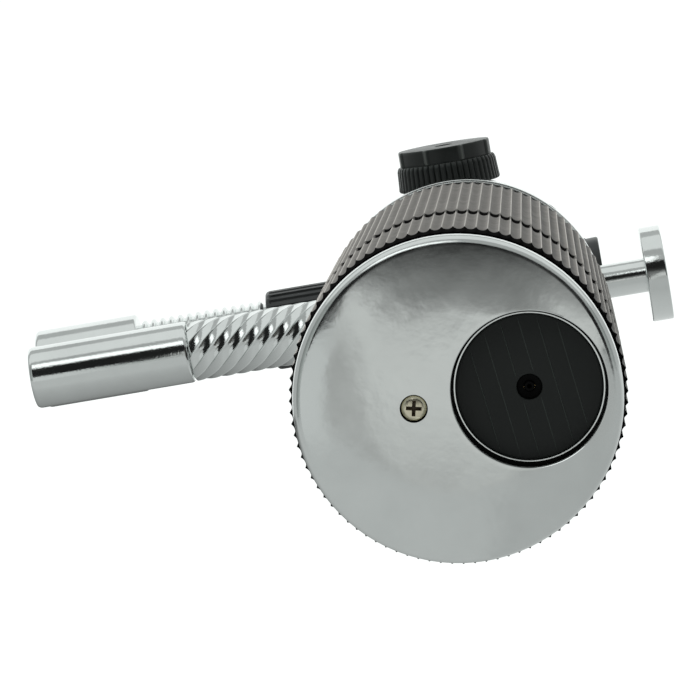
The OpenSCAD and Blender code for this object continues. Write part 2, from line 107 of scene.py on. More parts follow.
def rounded(points, steps=4):
    """Outline in which each corner (x, y, radius) is turned into a curve; a radius of 0 stays sharp."""
    out = []
    for i, (x, y, radius) in enumerate(points):
        corner = Vector((x, y))
        if radius <= 0:
            out.append(corner)
            continue
        before = Vector(points[i - 1][:2]) - corner
        after = Vector(points[(i + 1) % len(points)][:2]) - corner
        a = corner + before.normalized() * min(radius, before.length * 0.49)
        b = corner + after.normalized() * min(radius, after.length * 0.49)
        for k in range(steps + 1):
            t = k / steps
            out.append(a * (1 - t) ** 2 + corner * 2 * t * (1 - t) + b * t ** 2)
    return out


def skin(bm, rings, closed=True):
    """Skins a list of rings of equal length; the last ring joins the first when closed, else it is capped."""
    rows = [[bm.verts.new(p) for p in ring] for ring in rings]
    count = len(rows[0])
    pairs = list(zip(rows, rows[1:] + rows[:1])) if closed else list(zip(rows, rows[1:]))
    for low, high in pairs:
        for i in range(count):
            j = (i + 1) % count
            bm.faces.new((low[i], low[j], high[j], high[i]))
    if not closed:
        bm.faces.new(rows[0])
        bm.faces.new(rows[-1])


def stack(rings, smooth=30, name="piece"):
    """One piece skinned over a closed loop of rings."""
    bm = bmesh.new()
    skin(bm, rings)
    return finished(name, bm, smooth)


def lathe(name, outline, axis="+z", at=Vector(), segments=128, smooth=30):
    """Turns a closed outline of (radius, height) in millimetres about an axis through a point."""
    turn = AXES[axis]
    rings = []
    for r, h in outline:
        rings.append([
            at + turn @ (Vector((r * math.cos(a), r * math.sin(a), h)) * MM)
            for a in (TAU * i / segments for i in range(segments))
        ])
    return stack(rings, smooth=smooth, name=name)


def ribbed_stack(name, levels, count, groove, axis="+z", at=Vector(), per_rib=8, twist=0.0, turn0=0.0,
                 smooth=40):
    """A ribbed ring: each level is (radius, height, depth of its grooves), in millimetres.

    groove(t) is the share of the depth at t, from 0 to 1 across a rib, and twist is in turns per millimetre.
    """
    turn = AXES[axis]
    total = count * per_rib
    rings = []
    for r, h, depth in levels:
        ring = []
        for i in range(total):
            a = TAU * (i / total + twist * (h - levels[0][1])) + turn0
            rr = r - depth * groove((i % per_rib) / per_rib)
            ring.append(at + turn @ (Vector((rr * math.cos(a), rr * math.sin(a), h)) * MM))
        rings.append(ring)
    return stack(rings, smooth=smooth, name=name)


def spread(start, end, steps):
    """Evenly spaced values from start to end, both included."""
    return [start + (end - start) * i / steps for i in range(steps + 1)]


def cut(obj, cutter):
    """Takes cutter's volume out of obj and deletes the cutter."""
    step = obj.modifiers.new("cut", "BOOLEAN")
    step.operation = "DIFFERENCE"
    step.solver = "EXACT"
    step.object = cutter
    bpy.context.view_layer.update()
    graph = bpy.context.evaluated_depsgraph_get()
    mesh = bpy.data.meshes.new_from_object(obj.evaluated_get(graph))
    obj.modifiers.clear()
    old = obj.data
    obj.data = mesh
    bpy.data.meshes.remove(old)
    bpy.data.objects.remove(cutter)
    obj.data.shade_smooth()
    obj.data.set_sharp_from_angle(angle=math.radians(30))
    return obj


def place(obj, body, material, slot, *nodes):
    """Dresses a piece: its material, its body and the CAD nodes it stands for; slot is not used."""
    obj.data.materials.clear()
    obj.data.materials.append(material)
    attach(obj, body)
    if nodes:
        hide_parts(*nodes)
    return obj


def second_material(obj, material, inside):
    """Gives another material to the faces whose centre lies inside."""
    obj.data.materials.append(material)
    for face in obj.data.polygons:
        face.material_index = 1 if inside(face.center) else 0


def store_painted_light(obj, level):
    """Stores each point's painted light level for materials: 1 on a crest painted with a highlight, 0 in a
    valley, -1 where painted shade sits.
    """
    shade = obj.data.attributes.new("painted_light", "FLOAT", "POINT")
    for vertex, value in zip(obj.data.vertices, shade.data):
        value.value = level(vertex.co)


# ---------------------------------------------------------------- materials

def shader(name, color, metallic=0.0, roughness=0.4):
    """A material with one Principled shader; returns the material, its node tree and the shader."""
    material = bpy.data.materials.new(name)
    material.use_nodes = True
    tree = material.node_tree
    bsdf = tree.nodes["Principled BSDF"]
    bsdf.inputs["Base Color"].default_value = (*color, 1)
    bsdf.inputs["Metallic"].default_value = metallic
    bsdf.inputs["Roughness"].default_value = roughness
    return material, tree, bsdf


def object_space(tree, stretch=(1, 1, 1)):
    """Object coordinates in millimetres, optionally stretched."""
    coords = tree.nodes.new("ShaderNodeTexCoord")
    mapping = tree.nodes.new("ShaderNodeMapping")
    mapping.inputs["Scale"].default_value = [s / MM for s in stretch]
    tree.links.new(coords.outputs["Object"], mapping.inputs["Vector"])
    return mapping.outputs["Vector"]


def speckle(tree, vector, scale, detail=4, rough=0.6):
    """Noise in the range 0 to 1 with that many cells per millimetre."""
    node = tree.nodes.new("ShaderNodeTexNoise")
    node.inputs["Scale"].default_value = scale
    node.inputs["Detail"].default_value = detail
    node.inputs["Roughness"].default_value = rough
    tree.links.new(vector, node.inputs["Vector"])
    return node.outputs["Fac"]


def span(tree, value, low, high, source=(0.3, 0.7)):
    """Maps a value from its source range to low..high."""
    node = tree.nodes.new("ShaderNodeMapRange")
    node.inputs["From Min"].default_value = source[0]
    node.inputs["From Max"].default_value = source[1]
    node.inputs["To Min"].default_value = low
    node.inputs["To Max"].default_value = high
    tree.links.new(value, node.inputs["Value"])
    return node.outputs["Result"]


def tint(tree, value, low, high, source=(0.3, 0.7)):
    """A colour between low and high, picked by a value."""
    node = tree.nodes.new("ShaderNodeMix")
    node.data_type = "RGBA"
    node.inputs["A"].default_value = (*low, 1)
    node.inputs["B"].default_value = (*high, 1)
    tree.links.new(span(tree, value, 0, 1, source), node.inputs["Factor"])
    return node.outputs["Result"]


def bumped(tree, bsdf, *layers):
    """Bump from (height value, depth in millimetres) layers, chained into the shader's normal."""
    normal = None
    for height, depth in layers:
        bump = tree.nodes.new("ShaderNodeBump")
        bump.inputs["Strength"].default_value = 1.0
        bump.inputs["Distance"].default_value = depth * MM
        tree.links.new(height, bump.inputs["Height"])
        if normal:
            tree.links.new(normal, bump.inputs["Normal"])
        normal = bump.outputs["Normal"]
    tree.links.new(normal, bsdf.inputs["Normal"])


def chrome(name, color=(0.80, 0.81, 0.82), rough=(0.05, 0.12), ripple=0.002, stretch=(1, 1, 1), grain=0.0004):
    """Plated metal with a faint ripple, fine grain, and smudges that dull it in places."""
    material, tree, bsdf = shader(name, color, metallic=1.0)
    space = object_space(tree)
    smudge = speckle(tree, space, 0.12, 5)
    fine = speckle(tree, object_space(tree, stretch), 2.2, 3)
    wave = speckle(tree, object_space(tree, stretch), 0.35, 2, 0.5)
    links = tree.links
    links.new(span(tree, smudge, *rough), bsdf.inputs["Roughness"])
    shade = tint(tree, smudge, [c * 0.93 for c in color], color)
    links.new(shade, bsdf.inputs["Base Color"])
    bumped(tree, bsdf, (wave, ripple), (fine, grain))
    return material


def brushed(name, color, roughness, stretch):
    """Drawn or turned metal with fine lines along one direction."""
    material, tree, bsdf = shader(name, color, metallic=1.0)
    lines = speckle(tree, object_space(tree, stretch), 6, 3)
    patch = speckle(tree, object_space(tree), 0.3, 4)
    tree.links.new(span(tree, patch, roughness - 0.07, roughness + 0.08), bsdf.inputs["Roughness"])
    tree.links.new(tint(tree, patch, [c * 0.82 for c in color], color), bsdf.inputs["Base Color"])
    bumped(tree, bsdf, (lines, 0.004))
    return material


def moulded(name, color, roughness=0.4, texture=0.01, dust=0.25, grain=3.0, specular=0.5, painted_light=None):
    """Moulded plastic or rubber: fine grain, dusty patches and, with a crest colour, painted highlights on
    crests and painted shade in hollows.
    """
    material, tree, bsdf = shader(name, color, roughness=roughness)
    space = object_space(tree)
    fine = speckle(tree, space, grain, 4, 0.65)
    patch = speckle(tree, space, 0.18, 5)
    light = [c + (0.16 - c) * dust for c in color]
    shade = tint(tree, patch, color, light)
    # With a crest colour, the point attribute mixes that painted highlight colour onto crests and a
    # near-black painted shade into hollows and marked places, and lowers the specular there; parts without
    # the attribute read 0 and get part of the painted shade all over.
    if painted_light:
        crest = tree.nodes.new("ShaderNodeAttribute")
        crest.attribute_name = "painted_light"
        painted_highlight = tree.nodes.new("ShaderNodeMix")
        painted_highlight.data_type = "RGBA"
        tree.links.new(span(tree, crest.outputs["Fac"], 0, 0.85, (0.62, 1.0)), painted_highlight.inputs["Factor"])
        tree.links.new(shade, painted_highlight.inputs["A"])
        painted_highlight.inputs["B"].default_value = (*painted_light, 1)
        painted_shade = tree.nodes.new("ShaderNodeMix")
        painted_shade.data_type = "RGBA"
        tree.links.new(span(tree, crest.outputs["Fac"], 1, 0, (-0.9, 0.5)), painted_shade.inputs["Factor"])
        tree.links.new(span(tree, crest.outputs["Fac"], 0, specular, (-0.9, 0.2)),
                       bsdf.inputs["Specular IOR Level"])
        tree.links.new(painted_highlight.outputs["Result"], painted_shade.inputs["A"])
        painted_shade.inputs["B"].default_value = (0.004, 0.004, 0.004, 1)
        shade = painted_shade.outputs["Result"]
    tree.links.new(shade, bsdf.inputs["Base Color"])
    tree.links.new(span(tree, patch, roughness - 0.06, roughness + 0.1), bsdf.inputs["Roughness"])
    bsdf.inputs["Specular IOR Level"].default_value = specular
    bumped(tree, bsdf, (fine, texture))
    return material


CHROME = chrome("chrome_tube", (0.78, 0.81, 0.80), (0.06, 0.12), grain=0.014)
CHROME_BASE = chrome("chrome_base", (0.75, 0.78, 0.77), (0.08, 0.2), 0.03, grain=0.003)
CHROME_CAST = chrome("chrome_cast", (0.78, 0.80, 0.80), (0.06, 0.14), 0.01)
SCREW_METAL = chrome("screw_plating", (0.80, 0.75, 0.58), (0.22, 0.34), 0.004, grain=0.002)
DARK_STEEL = brushed("dark_steel", (0.16, 0.16, 0.17), 0.35, (1, 1, 1))
STEEL = brushed("drawn_steel", (0.60, 0.60, 0.61), 0.28, (1, 1, 0.05))
BRASS = brushed("turned_brass", (0.76, 0.57, 0.27), 0.24, (0.05, 1, 1))
COPPER = brushed("drawn_copper", (0.76, 0.42, 0.27), 0.26, (0.05, 1, 1))
# The grip's crests get a light painted highlight colour; its hollows, underside and seam get a painted shade.
GRIP = moulded("grip_rubber", (0.085, 0.080, 0.072), 0.55, 0.02, 0.2, specular=0.06, painted_light=(0.32, 0.31, 0.29))
SEAL = moulded("seal_rubber", (0.02, 0.02, 0.02), 0.5, 0.005, 0.1)
TANK = moulded("tank_plastic", (0.010, 0.013, 0.012), 0.45, 0.008, 0.05, specular=0.3)
# A dark brown colour for the faces in the base screw's cross recess.
CROSS_DARK = moulded("cross_recess_dark", (0.07, 0.05, 0.03), 0.5, 0.004, 0.1, specular=0.3)
# Lighter than the plug's plastic: a painted reflection along the plug's raised lines.
PLUG_LINE_HIGHLIGHT = moulded("plug_line_painted_reflection", (0.035, 0.045, 0.04), 0.45, 0.004, 0.1, specular=0.3)
# The knob cap's ridge crests get a painted highlight colour and its valleys part of the painted shade; the
# skirt has no attribute and is mixed part way to that shade all over.
KNOB = moulded("knob_plastic", (0.020, 0.025, 0.023), 0.36, 0.01, 0.1, specular=0.4, painted_light=(0.12, 0.13, 0.12))
BARREL_BLACK = moulded("barrel_plastic", (0.010, 0.012, 0.012), 0.33, 0.008, 0.06, specular=0.4)
# Near-black painted shade for the plug's round recess and the refill stem tip inside it, darker than the
# plug's own plastic.
RECESS_SHADE = moulded("recess_painted_shade", (0.003, 0.003, 0.003), 0.6, 0.004, 0.0, specular=0.08)
CERAMIC = moulded("ceramic", (0.86, 0.84, 0.79), 0.18, 0.002, 0.0)
IGNITER = moulded("igniter_plastic", (0.42, 0.045, 0.035), 0.25, 0.004, 0.0)

SLOT_MATERIAL = {
    "chrome_plate": CHROME,
    "screw_plating": SCREW_METAL,
    "dark_steel": DARK_STEEL,
    "steel": STEEL,
    "brass": BRASS,
    "copper_tube": COPPER,
    "grip_rubber": GRIP,
    "seal_rubber": SEAL,
    "tank_plastic": TANK,
    "knob_plastic": KNOB,
    "barrel_plastic": BARREL_BLACK,
    "ceramic": CERAMIC,
    "igniter_plastic": IGNITER,
}


def dress_cad_nodes():
    """Gives every CAD node the material of its slot, and smooth shading on its round faces."""
    for part in frame["record"]["subparts"]:
        obj = NODES[part["node"]]
        obj.data.materials.clear()
        obj.data.materials.append(SLOT_MATERIAL[part["material_slot"]])
        obj.data.shade_smooth()
        obj.data.set_sharp_from_angle(angle=math.radians(30))


# ---------------------------------------------------------------- base

BASE_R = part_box("base_cap")[1].x / MM
BASE_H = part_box("base_cap")[1].z / MM
LAND_R = 16                 # flat in the middle of the base
SLOPE = 0.2                 # slope of the domed plate where its rounded edge starts
EDGE_R = 2.24
LEAN = math.atan(SLOPE)
BEND_R = BASE_R - EDGE_R * (1 - math.sin(LEAN))
PLATE_T = 0.9
WALL = 1.1
HOLE_R = 14.2
SEAT_R = 2.54               # opening round the base screw's head
SEAT_Z = 1.6                # seat of the base screw's head


def plate_z(r):
    """Height of the domed plate's underside at radius r."""
    return SLOPE * max(0, r - LAND_R) ** 2 / (2 * (BEND_R - LAND_R))


def make_base():
    """The domed plate with its off-centre opening and rounded edge, in one skin."""
    segments = 256
    ways = [Vector((math.cos(a), math.sin(a))) for a in (TAU * i / segments for i in range(segments))]
    hole = Vector((PLUG.x / MM, 0))

    def blend_ring(t, lift=0.0):
        """A ring between the opening (t = 0) and the start of the rounded edge (t = 1)."""
        spots = [(hole + way * HOLE_R).lerp(way * BEND_R, t) for way in ways]
        return [Vector((p.x, p.y, plate_z(p.length) + lift)) * MM for p in spots]

    def lip_ring(grow, lift):
        """A ring at the opening, grown outwards and lifted off the plate."""
        return [Vector((*(hole + way * (HOLE_R + grow)), plate_z((hole + way * HOLE_R).length) + lift)) * MM
                for way in ways]

    def turned_ring(r, z):
        """A plain ring about the middle of the base."""
        return [Vector((way.x * r, way.y * r, z)) * MM for way in ways]

    top = plate_z(BEND_R) + EDGE_R * math.cos(LEAN)
    rings = [lip_ring(0.0, PLATE_T), lip_ring(0.0, 0.3), lip_ring(0.05, 0.1), lip_ring(0.18, 0.015)]
    rings += [blend_ring(t) for t in spread(0.03, 1, 56)]
    for a in spread(LEAN, math.pi / 2, 12)[1:]:
        rings.append(turned_ring(BASE_R - EDGE_R + EDGE_R * math.sin(a), top - EDGE_R * math.cos(a)))
    rings += [turned_ring(r, z) for r, z in rounded([
        (BASE_R, BASE_H, 0.25), (BASE_R - WALL, BASE_H, 0.1), (BASE_R - WALL, top, 0.3)])]
    rings += [blend_ring(t, PLATE_T) for t in spread(0.98, 0.04, 12)]
    base = stack(rings, name="base_plate")
    seat = [(0, -1), (SEAT_R, -1), (SEAT_R, SEAT_Z), (0, SEAT_Z)]
    cut(base, lathe("seat_cutter", seat, at=Vector((SCREW.x, 0, 0)), segments=64))
    return place(base, "root", CHROME_BASE, "chrome_plate", "base_cap")


def make_base_screw():
    """A pan head with a tapered cross recess."""
    low = SEAT_Z - 1.3
    outline = [(0, low), (0.8, low + 0.02), (1.45, low + 0.1), (1.95, low + 0.28), (2.28, low + 0.56),
               (2.44, low + 0.9), (2.45, low + 1.15), (2.36, SEAT_Z), (1.25, SEAT_Z), (1.25, 9.1), (0, 9.1)]
    here = Vector((SCREW.x, 0, 0))
    screw = lathe("base_screw_head", outline, at=here, segments=96)
    for turn in (12, 102):
        bm = bmesh.new()
        rings = []
        for z, half, wide in ((low - 0.4, 1.62, 0.4), (low + 1.15, 1.0, 0.2)):
            ring = []
            for x, y in ((-half, -wide), (half, -wide), (half, wide), (-half, wide)):
                spot = Matrix.Rotation(math.radians(turn), 3, "Z") @ Vector((x, y, z))
                ring.append(here + spot * MM)
            rings.append(ring)
        skin(bm, rings, closed=False)
        cut(screw, finished("cross_cutter", bm))
    place(screw, "root", SCREW_METAL, "screw_plating", "base_screw")

    def in_cross(spot):
        """Whether a face lies in the cross recess."""
        return (spot - here).xy.length < 1.6 * MM and (low + 0.2) * MM < spot.z < SEAT_Z * MM

    # Faces in the cross recess are coloured dark brown.
    second_material(screw, CROSS_DARK, in_cross)


PLUG_R = 13.3
PLUG_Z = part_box("filler_plug")[0].z / MM + 0.15


def make_filler():
    """The black plug with its round recess, the bright bezel round it, and the tip of the refill stem."""
    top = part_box("filler_plug")[1].z / MM
    floor = PLUG_Z + 1.3
    here = Vector((PLUG.x, 0, 0))
    plug = lathe("filler_plug_face", rounded([
        (1.03, top, 0), (1.03, floor, 0.1), (2.1, floor, 0.15), (2.3, floor - 0.9, 0.2), (2.35, PLUG_Z, 0.15),
        (PLUG_R, PLUG_Z, 0.35), (PLUG_R, top, 0)]), at=here, segments=192)
    place(plug, "root", TANK, "tank_plastic", "filler_plug")

    def in_recess(spot):
        """Whether a face lies in the round recess."""
        return (spot - here).xy.length < 2.33 * MM and spot.z > (PLUG_Z + 0.1) * MM

    # The recess faces get the near-black painted shade.
    second_material(plug, RECESS_SHADE, in_recess)
    bezel = lathe("filler_bezel_ring", rounded([
        (13.4, PLUG_Z - 0.25, 0.12), (13.8, PLUG_Z - 0.25, 0.12), (13.8, top, 0), (13.4, top, 0)]),
        at=here, segments=192)
    place(bezel, "root", CHROME, "chrome_plate", "filler_bezel")
    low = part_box("valve_stem")[0].z / MM
    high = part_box("valve_stem")[1].z / MM
    stem = lathe("refill_stem_tip", rounded([
        (0.42, low + 2.8, 0), (0.42, low + 0.04, 0.12), (0.95, low + 0.04, 0.3), (0.95, high - 2.05, 0.05),
        (1.7, high - 2.05, 0.05), (1.7, high - 1.45, 0.05), (0.95, high - 1.45, 0.05), (0.95, high, 0.2),
        (0, high, 0), (0, low + 2.8, 0)]), at=here, segments=64)
    # The stem tip inside the recess gets the same near-black painted shade.
    place(stem, "refill_stem", RECESS_SHADE, "tank_plastic", "valve_stem")


def make_plug_lines():
    """Thin raised lines across the plug, with rounded flanks and tapered ends; every other one is fainter,
    and their lighter colour is a painted reflection.
    """
    bm = bmesh.new()
    steps = 24
    here = Vector((PLUG.x, 0, 0))
    turn = Matrix.Rotation(math.radians(-7), 3, "Z")
    for i in range(6):
        offset = -8.4 + 3.3 * i
        tall = 0.12 if i % 2 == 0 else 0.05
        flank = tall * 0.75
        section = ((-0.13, -0.05), (-0.08, flank), (0, tall), (0.08, flank), (0.13, -0.05))
        half = math.sqrt((PLUG_R - 0.6) ** 2 - offset ** 2)
        gap = math.sqrt(max(0, 2.8 ** 2 - offset ** 2))
        stretches = ((-half, -gap), (gap, half)) if gap else ((-half, half),)
        for start, end in stretches:
            rings = []
            for k in range(steps + 1):
                y = start + (end - start) * k / steps
                ends = min(1, (k + 0.4) / 2, (steps - k + 0.4) / 2)
                spots = [Vector((offset + x * ends, y, PLUG_Z - z * ends)) for x, z in section]
                rings.append([here + turn @ spot * MM for spot in spots])
            skin(bm, rings, closed=False)
    place(finished("plug_lines", bm, 60), "root", PLUG_LINE_HIGHLIGHT, "tank_plastic")


# ---------------------------------------------------------------- grip

GRIP_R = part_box("grip_sleeve")[1].x / MM
SHELL_R = 28.9
RIBS = 92
RIB_DEPTH = 0.5


def rib_groove(t):
    """Narrow crests between wide hollows."""
    return 1 - abs(2 * t - 1) ** 2.4


def grip_painted_light(obj, crest, painted_shade_below, seam):
    """Painted highlights on a grip part's crests and painted shade in its hollows, below a height and in the
    hollows round the seam.
    """
    valley = crest - RIB_DEPTH

    def level(spot):
        """Where a point lies between valley and crest, or -1 in painted shade."""
        share = (spot.xy.length / MM - valley) / (crest - valley)
        height = spot.z / MM
        in_painted_shade = height < painted_shade_below or (abs(height - seam) < 2.8 and share < 0.7)
        return -1 if in_painted_shade else min(1, max(-1, share))

    store_painted_light(obj, level)


def make_grip():
    """The lower band and the long sleeve, both ribbed, with dimples where they meet."""
    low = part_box("grip_band")[0].z / MM
    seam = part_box("grip_band")[1].z / MM
    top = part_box("grip_sleeve")[1].z / MM
    crest = GRIP_R - 0.1
    band = [(SHELL_R, low, 0), (crest - 1.3, low, 0), (crest - 0.65, low + 0.1, 0.1)]
    band += [(crest - 0.3, low + 0.5, 0.3), (crest - 0.1, low + 1.2, 0.45)]
    band += [(crest, h, RIB_DEPTH) for h in (low + 2.2, low + 3.3, *spread(low + 4.6, seam - 3.4, 9))]
    band += [(crest, seam - 2.6, 0.6), (crest, seam - 1.7, 1.2), (crest, seam - 0.8, 1.5)]
    band += [(crest - 0.04, seam, 1.3), (SHELL_R, seam, 0)]
    lower = ribbed_stack("grip_lower_band", band, RIBS, rib_groove)
    # Painted shade on the band's hollows, on its lowest 3.5 mm and round the seam; painted highlight on its
    # crests.
    grip_painted_light(lower, crest, low + 3.5, seam)
    place(lower, "root", GRIP, "grip_rubber", "grip_band")
    start = top - 22
    taper = 19.5
    sleeve = [(SHELL_R, seam + 0.1, 0), (GRIP_R - 0.04, seam + 0.1, 1.3), (GRIP_R, seam + 0.5, 1.2),
              (GRIP_R, seam + 1.4, 0.8), (GRIP_R, seam + 2.2, 0.55)]
    sleeve += [(GRIP_R, h, RIB_DEPTH) for h in spread(seam + 4, start, 14)]
    for h in spread(start + 2.5, top - 2.5, 8):
        sleeve.append((GRIP_R - 1.25 * (h - start) ** 2 / taper ** 2, h, RIB_DEPTH))
    sleeve += [(GRIP_R - 1.35, top - 1.2, 0.45), (GRIP_R - 1.5, top - 0.4, 0.2), (GRIP_R - 1.7, top, 0),
               (SHELL_R, top, 0)]
    upper = ribbed_stack("grip_long_sleeve", sleeve, RIBS, rib_groove)
    # Painted shade in the sleeve's hollows round the seam; painted highlight on its crests.
    grip_painted_light(upper, GRIP_R, low, seam)
    place(upper, "root", GRIP, "grip_rubber", "grip_sleeve")


def make_collar():
    """The bright ring between grip and head, with short notches and sockets for its three screws."""
    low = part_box("collar")[0].z / MM
    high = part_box("collar")[1].z / MM
    collar = lathe("collar_ring", rounded([
        (SHELL_R, low, 0), (29.8, low, 0.1), (29.8, low + 0.5, 0.05), (30.2, low + 0.5, 0.3),
        (30.2, high - 0.6, 0.3), (29.8, high - 0.6, 0.05), (29.8, high, 0.1), (SHELL_R, high, 0)]),
        segments=192)
    for turn in (-12, -3, 7, 16):
        bm = bmesh.new()
        bmesh.ops.create_cube(bm, size=1, matrix=Matrix.Rotation(math.radians(turn), 4, "Z")
                              @ Matrix.Translation(Vector((0, -30.3, low + 2.7)) * MM)
                              @ Matrix.Diagonal(Vector((0.7, 1.4, 2.2, 1000)) * MM))
        cut(collar, finished("notch_cutter", bm))
    for turn in (-43.5, 76.5, 196.5):
        socket = lathe("socket_cutter", [(0, 27), (1.02, 27), (1.02, 33), (0, 33)], "+x", segments=32)
        lift = Matrix.Translation((0, 0, (low + 2.8) * MM))
        socket.data.transform(Matrix.Rotation(math.radians(turn), 4, "Z") @ lift)
        cut(collar, socket)
    place(collar, "root", CHROME, "chrome_plate", "collar")


# ---------------------------------------------------------------- head

def make_head():
    """The flared housing and the dome above it, each turned and then cut for the tubes and the gland."""
    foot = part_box("head_housing")[0].z / MM
    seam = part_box("head_housing")[1].z / MM
    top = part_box("head_dome")[1].z / MM
    waist = 21.5
    wall = 1.8
    bend = 7.9
    flare = [(waist + bend * (1 - math.sin(a)), foot + 1.2 + bend * (1 - math.cos(a)))
             for a in spread(0, math.pi / 2, 12)]
    housing = [(29.4 - wall, foot), (29.25, foot), (29.4, foot + 0.15)] + flare
    housing += [(waist, seam - 0.12), (waist - 0.1, seam), (waist - wall, seam), (waist - wall, foot + 9.4)]
    housing += [(waist - wall + bend * (1 - math.sin(a)), foot + 1.2 + bend * (1 - math.cos(a)))
                for a in spread(math.pi / 2, 0, 8)]
    lower = lathe("head_shell", housing, segments=160)
    dome = [(waist - wall, seam), (waist - 0.1, seam), (waist, seam + 0.12)]
    dome += [(waist - 9 + 9 * math.cos(a), top - 9 + 9 * math.sin(a)) for a in spread(0, math.pi / 2, 14)]
    dome += [(0, top), (0, top - wall)]
    dome += [(waist - 9 + 7.2 * math.cos(a), top - 9 + 7.2 * math.sin(a)) for a in spread(math.pi / 2, 0, 10)]
    upper = lathe("head_cap", dome, segments=160)
    barrel_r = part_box("upper_barrel")[1].y / MM
    bore = [(0, -40), (barrel_r, -40), (barrel_r, 40), (0, 40)]
    for shell in (lower, upper):
        cut(shell, lathe("barrel_cutter", bore, "+x", BARREL, 96))
    cut(lower, lathe("tube_cutter", [(0, -40), (5, -40), (5, 0), (0, 0)], "+x", BURNER, 96))
    cut(lower, lathe("bushing_cutter", [(0, 10), (5.6, 10), (5.6, 40), (0, 40)], "+x", BURNER, 96))
    cut(lower, lathe("gland_cutter", [(0, 10), (4.5, 10), (4.5, 40), (0, 40)], "-y", BURNER, 96))
    screw_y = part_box("dome_screws")[1].y / MM - 2.6
    well = [(0, seam + 5), (2.75, seam + 5), (2.75, top + 4), (0, top + 4)]
    for side in (-1, 1):
        spot = Vector((0, side * screw_y * MM, 0))
        cut(upper, lathe("well_cutter", well, at=spot, segments=64))
    place(lower, "root", CHROME_CAST, "chrome_plate", "head_housing")
    place(upper, "root", CHROME_CAST, "chrome_plate", "head_dome")
    for number, side in enumerate((-1, 1), 1):
        spot = Vector((0, side * screw_y * MM, 0))
        outline = rounded([(1.5, seam - 8, 0), (4.0, seam - 8, 0.3), (4.0, seam + 5, 0), (1.5, seam + 5, 0)])
        post = lathe(f"dome_post_{number}", outline, at=spot, segments=64)
        post.data.transform(Matrix.Translation((0, -side * 0.6 * MM, 0)))
        place(post, "root", CHROME_CAST, "chrome_plate")


# ---------------------------------------------------------------- knob

def knob_groove(t):
    """Narrow valleys between broad ribs."""
    return max(0.0, 1 - math.sin(math.pi * t) * 1.5) ** 0.7


def make_knob():
    """The ribbed skirt and the ridged cap of the gas knob."""
    inner = -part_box("knob_skirt")[1].y / MM
    outer = -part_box("knob_skirt")[0].y / MM
    end = -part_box("knob_cap")[0].y / MM
    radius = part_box("knob_skirt")[1].x / MM
    skirt = [(2.0, inner + 1.6, 0), (radius - 2.2, inner + 1.6, 0), (radius - 2.2, inner + 0.2, 0)]
    skirt += [(radius - 1.9, inner, 0), (radius - 0.5, inner, 0)]
    skirt += [(radius - 0.15, inner + 0.15, 0.1), (radius, inner + 0.5, 0.4)]
    for h in spread(inner + 1.2, outer - 1, 6):
        skirt.append((radius - 0.35 * (h - inner) / (outer - inner), h, 0.42))
    skirt += [(radius - 0.5, outer - 0.35, 0.35), (radius - 0.75, outer - 0.08, 0.1)]
    skirt += [(radius - 1.1, outer, 0), (2.0, outer, 0)]
    piece = ribbed_stack("knob_ribbed_skirt", skirt, 52, knob_groove, "-y", BURNER, per_rib=10)
    place(piece, "gas_knob", KNOB, "knob_plastic", "knob_skirt")

    def ridged(t):
        """Flat between narrow raised ridges."""
        return min(1, (min(t, 1 - t) / 0.09) ** 1.6)

    crest = radius - 0.7
    cap = [(2.0, outer, 0), (crest - 0.2, outer, 0.3), (crest, outer + 0.2, 0.45)]
    cap += [(crest, h, 0.45) for h in spread(outer + 0.6, end - 0.5, 4)]
    cap += [(crest - 0.05, end - 0.2, 0.44), (crest - 0.3, end - 0.03, 0.3), (crest - 0.7, end, 0.1),
            (6.0, end, 0), (2.0, end - 0.05, 0)]
    piece = ribbed_stack("knob_ridged_cap", cap, 8, ridged, "-y", BURNER, per_rib=44, turn0=math.pi / 8)

    # Sets where the cap's painted highlight falls, on the ridge crests.
    def level(spot):
        """How near a point lies to a ridge's crest."""
        reach = Vector((spot.x, spot.z - BURNER_Z)).length / MM
        return min(1, max(0, (reach - crest + 0.45) / 0.45))

    store_painted_light(piece, level)
    place(piece, "gas_knob", KNOB, "knob_plastic", "knob_cap")


# ---------------------------------------------------------------- burners

def flute(t):
    """Nearly flat facets that meet in fine raised ridges."""
    near = min(t, 1 - t)
    return 1 - (2 * t - 1) ** 2 - 0.4 * max(0, 1 - near / 0.05)


def make_main_burner():
    """The plain flame tube with its thinned mouth, and the air sleeve with twisted flutes."""
    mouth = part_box("flame_tube")[0].x / MM
    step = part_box("flame_tube")[1].x / MM
    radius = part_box("flame_tube")[1].y / MM
    tube = lathe("flame_tube_skin", rounded([
        (5.0, step, 0.1), (radius - 0.25, step, 0.15), (radius, step - 0.5, 0.2), (radius, mouth + 0.6, 0.4),
        (radius - 0.35, mouth, 0.2), (radius - 0.75, mouth, 0.2), (radius - 0.75, step - 3.6, 0),
        (5.0, step - 3.6, 0)]), "+x", BURNER, 192)
    place(tube, "root", CHROME, "chrome_plate", "flame_tube")
    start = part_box("air_sleeve")[0].x / MM
    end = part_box("air_sleeve")[1].x / MM
    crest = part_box("air_sleeve")[1].y / MM
    levels = [(5.05, start, 0), (crest - 0.5, start, 0.1), (crest - 0.25, start + 0.12, 0.2)]
    levels += [(crest - 0.08, h, 0.23) for h in spread(start + 0.4, end - 0.4, 150)]
    levels += [(crest - 0.25, end - 0.12, 0.2), (crest - 0.5, end, 0.1), (5.05, end, 0)]
    sleeve = ribbed_stack("air_sleeve_fluted", levels, 13, flute, "+x", BURNER, per_rib=20, twist=-1 / 44,
                          smooth=50)
    port = end - 5
    for turn in (0, 90):
        hole = lathe("port_cutter", [(0, -9), (1.4, -9), (1.4, 9), (0, 9)], segments=48)
        there = Matrix.Translation((port * MM, 0, BURNER_Z))
        hole.data.transform(there @ Matrix.Rotation(math.radians(turn), 4, "X"))
        cut(sleeve, hole)
    place(sleeve, "air_control", CHROME, "chrome_plate", "air_sleeve")


